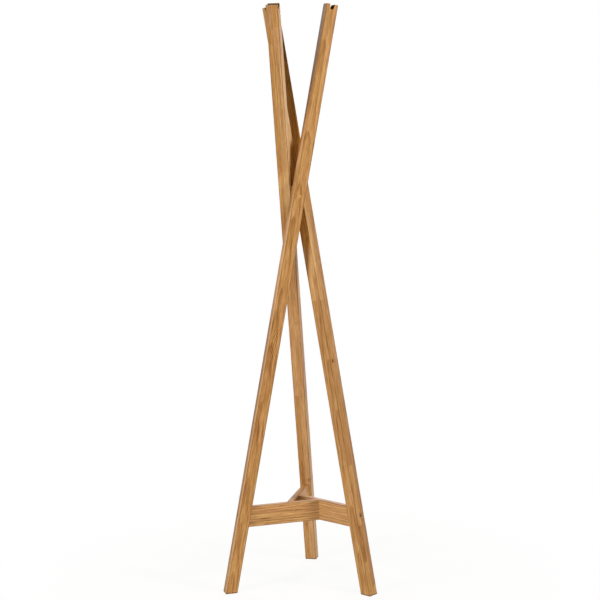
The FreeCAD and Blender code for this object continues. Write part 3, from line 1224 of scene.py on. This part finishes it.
@dataclass
class LegBolts(Trio):
    """The socket-head bolts from the legs into the rails, square to the legs."""

    form: StandForm
    steel: Material
    head: float = 5 * MM
    head_height: float = 5 * MM
    shank: float = 3 * MM
    length: float = 50.5 * MM
    chamfer: float = 0.6 * MM
    socket: float = 4 * MM
    socket_depth: float = 3 * MM
    socket_sides: int = 6

    def build(self) -> None:
        """Models the left side's bolt and its two copies."""
        rings = [
            (self.head - self.chamfer, 0),
            (self.head, self.chamfer),
            (self.head, self.head_height),
            (self.shank, self.head_height),
            (self.shank, self.length - self.chamfer),
            (self.shank - self.chamfer, self.length),
        ]
        bolt = add_turned("bolt", rings)
        key = self.socket / math.sqrt(3)
        carve(bolt, bore("socket", key, self.socket_depth, self.socket_sides))
        sunk = self.form.bolt_seat - self.head_height - self.form.leg_side / 2
        lay(bolt, self.form.leg_place @ pointing(Vector((sunk, 0, self.form.bolt_along)), ALONG))
        self.copy_round(bolt, "dark_leg_bolt")

    def dress(self) -> None:
        """Gives the bolts their dark finish."""
        for side, bolt in self.pieces.items():
            hand_over(bolt, f"leg_bolt_{side.label}", self.steel)


@dataclass
class HiddenJoinery:
    """The dowels and threaded inserts inside the joints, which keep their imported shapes."""

    beech: OakFinish
    steel: MetalFinish
    seed: float = 2.0

    def dress(self) -> None:
        """Gives each hidden part its finish."""
        wood = self.beech.dress("beech_dowels", Timber(self.seed))
        plating = self.steel.dress("insert_steel")
        finishes = dict.fromkeys(("waist_dowels", "leg_dowels", "rail_dowels"), wood)
        finishes["threaded_insert"] = plating
        for side in Side:
            for kind, material in finishes.items():
                frame["nodes"][f"{kind}_{side.label}"].material_slots[0].material = material
            LOG.info("hidden joinery of the %s side dressed", side.label)


def from_front(turn_deg: float, rise_deg: float = 0.0) -> Vector:
    """The direction at an angle round the stand from the front, to the right, and an angle up."""
    turn, rise = math.radians(turn_deg), math.radians(rise_deg)
    return Vector((math.sin(turn) * math.cos(rise), -math.cos(turn) * math.cos(rise), math.sin(rise)))


def set_out(data: bpy.types.ID, place: Vector, back: Vector, roll_deg: float = 0.0) -> Piece:
    """Adds a lamp or a camera to the scene.

    Args:
        data: The lamp or camera.
        place: Where it goes.
        back: The direction that it looks away from.
        roll_deg: How far it is rolled to its left.

    Returns:
        Its object.
    """
    item = bpy.data.objects.new(data.name, data)
    bpy.context.scene.collection.objects.link(item)
    roll = Matrix.Rotation(math.radians(roll_deg), 4, "Z")
    item.matrix_world = Matrix.Translation(place) @ back.to_track_quat("Z", "Y").to_matrix().to_4x4() @ roll
    return item


@dataclass(frozen=True)
class Lamp:
    """A square soft lamp, by its angle round the stand from the front, to the right, and its angle up."""

    name: str
    azimuth_deg: float
    elevation_deg: float
    size: float
    power: float
    distance: float = 4.0
    aim_height: float = 0.95

    def hang(self) -> None:
        """Adds the lamp to the scene."""
        data = bpy.data.lights.new(self.name, "AREA")
        data.shape = "SQUARE"
        data.size = self.size
        data.energy = self.power
        way = from_front(self.azimuth_deg, self.elevation_deg)
        set_out(data, way * self.distance + UP * self.aim_height, way)


@dataclass(frozen=True)
class Viewpoint:
    """The camera: where it stands, to the left of the front, and which way it looks."""

    distance: float = 4.8409
    height: float = 1.542
    azimuth_deg: float = 16.71
    heading_deg: float = 16.792
    pitch_deg: float = -7.869
    roll_deg: float = -1.240
    focal_pixels: float = 1624.54
    image_pixels: int = 600
    film: float = 36.0

    def set_up(self) -> None:
        """Adds the camera and makes it the scene's."""
        data = bpy.data.cameras.new("camera")
        data.sensor_fit = "HORIZONTAL"
        data.sensor_width = self.film
        data.lens = self.focal_pixels * self.film / self.image_pixels
        place = from_front(-self.azimuth_deg) * self.distance + UP * self.height
        back = from_front(-self.heading_deg, -self.pitch_deg)
        bpy.context.scene.camera = set_out(data, place, back, self.roll_deg)


@dataclass
class Studio:
    """A pale floor and a white surround, with soft lamps."""

    lamps: tuple[Lamp, ...]
    floor_size: float = 60.0
    floor_colour: Triple = (0.82, 0.78, 0.70)
    floor_glow: float = 0.92
    shadow_reach: Span = (0.4, 1.0)
    white: Triple = (1.0, 1.0, 1.0)

    def set_up(self) -> None:
        """Adds the floor, the surround and the lamps."""
        bpy.context.scene.view_settings.view_transform = "Standard"
        self.lay_floor()
        self.light_surround()
        for lamp in self.lamps:
            lamp.hang()

    def seen(self, sheet: Sheet) -> Socket:
        """Tells what is seen, directly or in a glossy or clear surface, from what only gives light.

        Args:
            sheet: The node tree that asks.

        Returns:
            1 where it is seen, 0 where it only gives light.
        """
        rays = sheet.node("ShaderNodeLightPath").outputs
        direct = sheet.math("MAXIMUM", rays["Is Camera Ray"], rays["Is Glossy Ray"])
        return sheet.math("MAXIMUM", direct, rays["Is Transmission Ray"])

    def lay_floor(self) -> None:
        """Adds the pale floor, which glows white where it is seen and keeps the stand's shadow."""
        floor = add_primitive("floor", bpy.ops.mesh.primitive_plane_add, size=self.floor_size)
        sheet = Sheet(bpy.data.materials.new("floor"))
        surface = {"Base Color": self.floor_colour, "Roughness": 1.0, "Specular IOR Level": 0.0}
        sheet.feed(sheet.shader, surface)
        away = sheet.vector("DISTANCE", sheet.place(), (0, 0, 0))
        share = sheet.fade(away, self.shadow_reach, (self.floor_glow, 1.0))
        share = sheet.times(self.seen(sheet), share)
        glow = sheet.node("ShaderNodeEmission", {"Color": self.white, "Strength": 1.0})
        both = {0: share, 1: sheet.shader.outputs[0], 2: glow.outputs[0]}
        mixed = sheet.node("ShaderNodeMixShader", both).outputs[0]
        sheet.feed(sheet.tree.nodes["Material Output"], {"Surface": mixed})
        floor.data.materials.append(sheet.owner)

    def light_surround(self) -> None:
        """Sets the surround, which is white where it is seen and gives no light."""
        world = bpy.data.worlds.new("surround")
        bpy.context.scene.world = world
        sheet = Sheet(world, "Background")
        sheet.feed(sheet.shader, {"Color": self.white, "Strength": self.seen(sheet)})


def main() -> None:
    """Builds the stand's pieces in order, dresses them and sets up the studio."""
    logging.basicConfig(level=logging.INFO, format="%(message)s")
    form = StandForm.measured()
    oak = OakFinish()
    plank = OakFinish(
        deep=srgb(154, 104, 60),
        mid=srgb(207, 158, 101),
        pale=srgb(235, 195, 143),
        ring=8 * MM,
        taper=1 / 300,
        pith=(0.10, -0.01, 0.0),
        pith_spread=(0.08, 0.02, 3.0),
        waves=(1.5 * MM, 3 * MM),
        tone=0.465,
        streaks=0.8,
        rings=0.18,
        roughness=0.40,
        shine=0.3,
    )
    beech = OakFinish(
        deep=srgb(190, 150, 108),
        mid=srgb(212, 176, 134),
        pale=srgb(226, 196, 158),
        streaks=0.3,
    )
    zinc = MetalFinish(clean=srgb(205, 162, 108), dull=srgb(168, 126, 76), roughness=(0.34, 0.48))
    dark = MetalFinish(clean=srgb(212, 192, 172), dull=srgb(180, 160, 142), roughness=(0.42, 0.58))

    plating = zinc.dress("zinc")
    assemblies = (
        Legs(form, oak),
        Rails(form, plank),
        Core(oak),
        Screws("waist_screw", plating),
        Screws("rail_screw", plating),
        LegBolts(form, dark.dress("dark_steel")),
    )
    for assembly in assemblies:
        assembly.build()
        assembly.dress()
    HiddenJoinery(beech, zinc).dress()

    lamps = (
        Lamp("left_low", -72, 6, 0.6, 65),
        Lamp("left_key", -65, 28, 0.5, 29),
        Lamp("right_key", 40, 28, 0.7, 86),
        Lamp("right_low", 35, 6, 0.5, 18),
        Lamp("front", -15, 6, 0.5, 11),
        Lamp("right_back", 150, 20, 0.8, 55),
        Lamp("left_back", -160, 35, 0.8, 55),
        Lamp("overhead", -20, 80, 1.2, 50),
    )
    Studio(lamps).set_up()
    Viewpoint().set_up()


if __name__ == "__main__":
    main()
